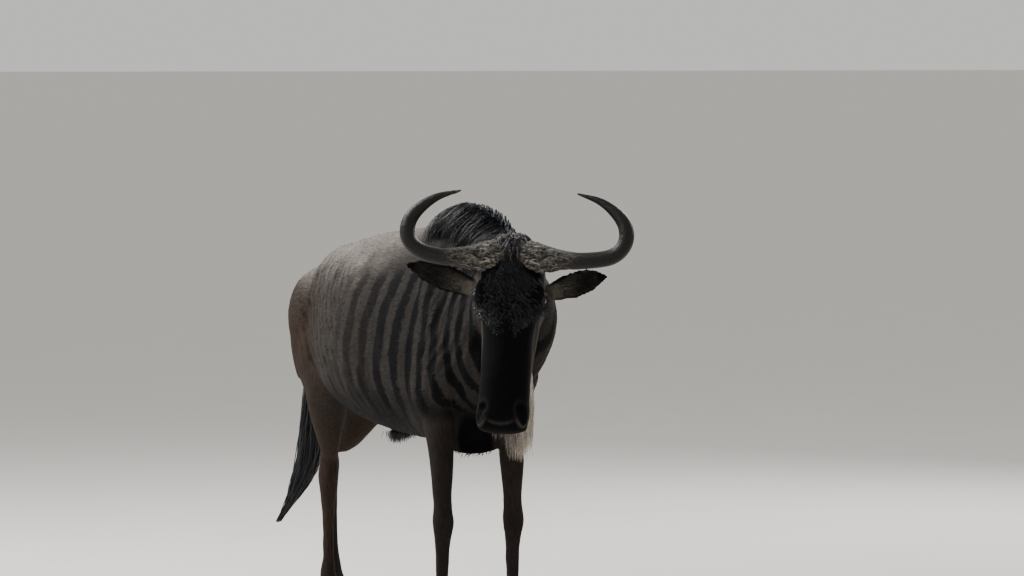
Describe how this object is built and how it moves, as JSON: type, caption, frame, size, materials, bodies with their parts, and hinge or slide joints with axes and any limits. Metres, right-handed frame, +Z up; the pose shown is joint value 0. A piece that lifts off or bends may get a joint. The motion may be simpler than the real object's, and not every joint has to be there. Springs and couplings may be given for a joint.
{
  "type": "wildebeest",
  "caption": "Life-size standing wildebeest bull with broad hooked horns, striped neck, black mane, pale beard and tufted tail.",
  "frame": {"origin": "middle of the underside of the whole model's box, on the floor", "axes": "+X forward along the trunk towards the chest, +Y to the animal's left, +Z up"},
  "size_m": [2.0406, 0.6222, 1.341],
  "materials": {
    "grey_coat": "short, close, slate-grey to brown hair over skin, with dark stripes on neck and shoulder",
    "leg_coat": "short, close, dark brown hair over skin",
    "face_coat": "short black hair over skin, browner on the cheeks",
    "black_hair": "long, coarse black hair",
    "horn": "keratin, rough and grey at the boss, smooth and dark towards the tip",
    "hoof": "dark keratin, fine growth rings",
    "eye": "wet, very dark brown"
  },
  "bodies": {
    "root": {"claw_inner_foreleg_left": "hoof", "claw_inner_foreleg_right": "hoof", "claw_inner_hindleg_left": "hoof", "claw_inner_hindleg_right": "hoof", "claw_outer_foreleg_left": "hoof", "claw_outer_foreleg_right": "hoof", "claw_outer_hindleg_left": "hoof", "claw_outer_hindleg_right": "hoof", "ear_left": "face_coat", "ear_right": "face_coat", "eye_left": "eye", "eye_right": "eye", "foreleg_left": "leg_coat", "foreleg_right": "leg_coat", "head": "face_coat", "hindleg_left": "leg_coat", "hindleg_right": "leg_coat", "horn_left": "horn", "horn_right": "horn", "neck": "grey_coat", "tail": "black_hair", "torso": "grey_coat"}
  },
  "joints": []
}
